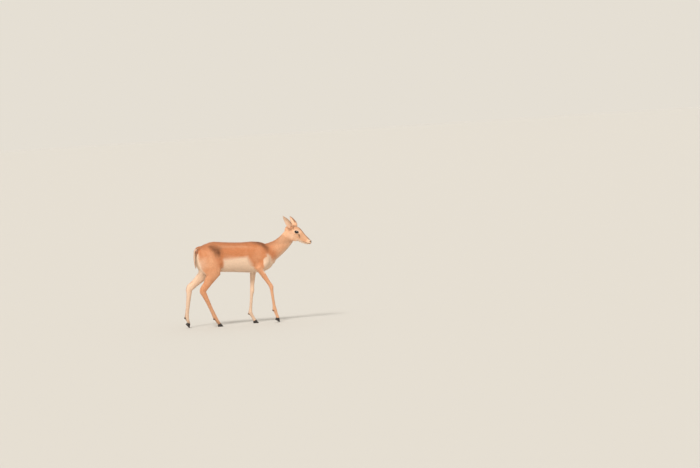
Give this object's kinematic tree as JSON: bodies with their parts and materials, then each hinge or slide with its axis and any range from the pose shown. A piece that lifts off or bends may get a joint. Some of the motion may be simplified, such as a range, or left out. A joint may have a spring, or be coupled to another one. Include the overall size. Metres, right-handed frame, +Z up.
{
  "type": "young blackbuck",
  "caption": "Life-size still model of a young hornless antelope in mid-walk, slim legs in stride, cloven hooves, head turned to one side, ears pricked, for display on a floor or base.",
  "frame": {"origin": "on the floor, under the middle of the animal's bounding box", "axes": "+X towards the head, +Y to the animal's left, +Z up"},
  "size_m": [0.952, 0.1866, 0.7743],
  "materials": {
    "coat": "short dense hair, tan above and white below",
    "hoof_horn": "dark horn with a dull sheen",
    "eye": "wet, near black"
  },
  "bodies": {
    "root": {"ear_left": "coat", "ear_right": "coat", "eye_left": "eye", "eye_right": "eye", "forehoof_left_inner": "hoof_horn", "forehoof_left_outer": "hoof_horn", "forehoof_right_inner": "hoof_horn", "forehoof_right_outer": "hoof_horn", "foreleg_left_cannon": "coat", "foreleg_left_forearm": "coat", "foreleg_right_cannon": "coat", "foreleg_right_forearm": "coat", "head": "coat", "hindhoof_left_inner": "hoof_horn", "hindhoof_left_outer": "hoof_horn", "hindhoof_right_inner": "hoof_horn", "hindhoof_right_outer": "hoof_horn", "hindleg_left_cannon": "coat", "hindleg_left_gaskin": "coat", "hindleg_right_cannon": "coat", "hindleg_right_gaskin": "coat", "neck": "coat", "tail": "coat", "torso": "coat"}
  },
  "joints": []
}
